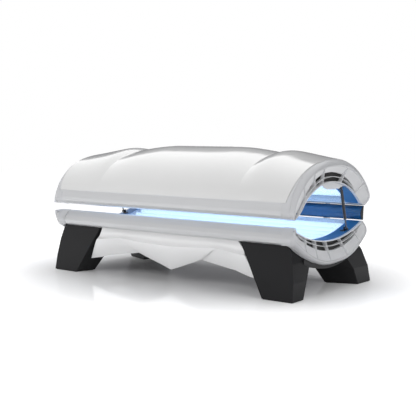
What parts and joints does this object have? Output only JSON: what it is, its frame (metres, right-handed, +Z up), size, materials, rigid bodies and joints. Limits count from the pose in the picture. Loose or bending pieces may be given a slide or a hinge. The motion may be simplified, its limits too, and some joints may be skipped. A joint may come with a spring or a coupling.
{
  "type": "clamshell tanning bed",
  "caption": "Salon tanning bed with a sculpted white canopy that lifts on rear hinges and gas struts over a curved acrylic lying surface on splayed black legs.",
  "frame": {"origin": "on the floor under the middle of the bed", "axes": "+X along the bed to its right end seen from the front, +Y to the back, +Z up"},
  "size_m": [2.13, 1.0076, 0.9353],
  "materials": {
    "shell_white": "white gloss moulding",
    "apron_white": "white satin moulding",
    "rail_grey": "light grey coated extrusion",
    "housing_grey": "satin grey moulding",
    "grille_grey": "light grey moulding",
    "leg_black": "black moulding, fine grain",
    "pad_rubber": "soft black rubber",
    "pan_grey": "painted sheet",
    "acrylic": "clear acrylic, polished",
    "strip_blue": "dark blue, polished",
    "lamp_glass": "coated fluorescent tube",
    "lampholder_white": "white",
    "reflector": "bright rolled",
    "frame_metal": "zinc grey",
    "ballast": "white enamel",
    "fan_black": "black",
    "hinge_steel": "zinc plated",
    "cover_dark": "dark, glossy",
    "strut_black": "black paint",
    "strut_chrome": "polished rod",
    "panel_dark": "dark grey",
    "button_green": "moulded",
    "button_red": "moulded",
    "gland_grey": "nylon"
  },
  "bodies": {
    "base": {"bed_acrylic": "acrylic", "bed_apron": "apron_white", "bed_ballasts": "ballast", "bed_bulkheads": "frame_metal", "bed_end_grille_left": "grille_grey", "bed_end_grille_right": "grille_grey", "bed_end_housing_left": "housing_grey", "bed_end_housing_right": "housing_grey", "bed_end_strip_left": "strip_blue", "bed_end_strip_right": "strip_blue", "bed_fan_housings": "fan_black", "bed_frame": "frame_metal", "bed_front_rail": "rail_grey", "bed_lampholders": "lampholder_white", "bed_lamps": "lamp_glass", "bed_pan": "pan_grey", "bed_rear_rail": "rail_grey", "bed_reflector": "reflector", "cable_gland": "gland_grey", "foot_pads": "pad_rubber", "hinge_brackets": "hinge_steel", "hinge_cover": "cover_dark", "hinge_pins": "hinge_steel", "leg_back_left": "leg_black", "leg_back_right": "leg_black", "leg_front_left": "leg_black", "leg_front_right": "leg_black", "leg_saddles": "leg_black", "strut_studs_bed": "hinge_steel"},
    "bed_fan_rotor_left": {"bed_fan_rotor_left": "fan_black"},
    "bed_fan_rotor_right": {"bed_fan_rotor_right": "fan_black"},
    "canopy": {"canopy_acrylic": "acrylic", "canopy_ballasts": "ballast", "canopy_bulkheads": "frame_metal", "canopy_end_grille_left": "grille_grey", "canopy_end_grille_right": "grille_grey", "canopy_end_housing_left": "housing_grey", "canopy_end_housing_right": "housing_grey", "canopy_end_strip_left": "strip_blue", "canopy_end_strip_right": "strip_blue", "canopy_fan_duct": "fan_black", "canopy_fan_housing": "fan_black", "canopy_frame": "frame_metal", "canopy_front_rail": "rail_grey", "canopy_lampholders": "lampholder_white", "canopy_lamps": "lamp_glass", "canopy_rear_rail": "rail_grey", "canopy_reflector": "reflector", "canopy_shell": "shell_white", "canopy_vent": "shell_white", "control_panel": "panel_dark", "hinge_arms": "hinge_steel", "strut_studs_canopy": "hinge_steel"},
    "canopy_fan_rotor": {"canopy_fan_rotor": "fan_black"},
    "start_button": {"start_button": "button_green"},
    "stop_button": {"stop_button": "button_red"},
    "strut_rod_left": {"strut_rod_left": "strut_chrome"},
    "strut_rod_right": {"strut_rod_right": "strut_chrome"},
    "strut_cylinder_left": {"strut_tube_left": "strut_black"},
    "strut_cylinder_right": {"strut_tube_right": "strut_black"}
  },
  "joints": [
    {"name": "canopy_hinge", "type": "hinge", "parent": "base", "child": "canopy", "pos_m": [0, 0.425, 0.48], "axis": [-1, 0, 0], "range_deg": [0, 45]},
    {"name": "strut_swing_left", "type": "hinge", "parent": "base", "child": "strut_rod_left", "pos_m": [-1.029, 0.211, 0.392], "axis": [-1, 0, 0], "range_deg": [0, 34.2]},
    {"name": "strut_slide_left", "type": "slide", "parent": "strut_rod_left", "child": "strut_cylinder_left", "axis": [0, -0.2684, 0.9633], "range_m": [0, 0.1635]},
    {"name": "strut_swing_right", "type": "hinge", "parent": "base", "child": "strut_rod_right", "pos_m": [1.029, 0.211, 0.392], "axis": [-1, 0, 0], "range_deg": [0, 34.2]},
    {"name": "strut_slide_right", "type": "slide", "parent": "strut_rod_right", "child": "strut_cylinder_right", "axis": [0, -0.2684, 0.9633], "range_m": [0, 0.1635]},
    {"name": "bed_fan_spin_left", "type": "hinge", "parent": "base", "child": "bed_fan_rotor_left", "pos_m": [-0.48, -0.0299, 0.19769], "axis": [0, 0, 1], "continuous": true},
    {"name": "bed_fan_spin_right", "type": "hinge", "parent": "base", "child": "bed_fan_rotor_right", "pos_m": [0.48, -0.0299, 0.19769], "axis": [0, 0, 1], "continuous": true},
    {"name": "canopy_fan_spin", "type": "hinge", "parent": "canopy", "child": "canopy_fan_rotor", "pos_m": [-0.085, 0.1125, 0.832], "axis": [0, 0, 1], "continuous": true},
    {"name": "start_press", "type": "slide", "parent": "canopy", "child": "start_button", "axis": [0, -0.0677, 0.9977], "range_m": [0, 0.002], "stiffness_N_per_m": 300},
    {"name": "stop_press", "type": "slide", "parent": "canopy", "child": "stop_button", "axis": [0, 0.062, 0.9981], "range_m": [0, 0.002], "stiffness_N_per_m": 300}
  ],
  "couplings": [
    {"joint": "strut_swing_left", "follows": "canopy_hinge", "ratio": 0.75525},
    {"joint": "strut_slide_left", "follows": "canopy_hinge", "m_per_rad": 0.2073},
    {"joint": "strut_swing_right", "follows": "canopy_hinge", "ratio": 0.75525},
    {"joint": "strut_slide_right", "follows": "canopy_hinge", "m_per_rad": 0.2073}
  ]
}
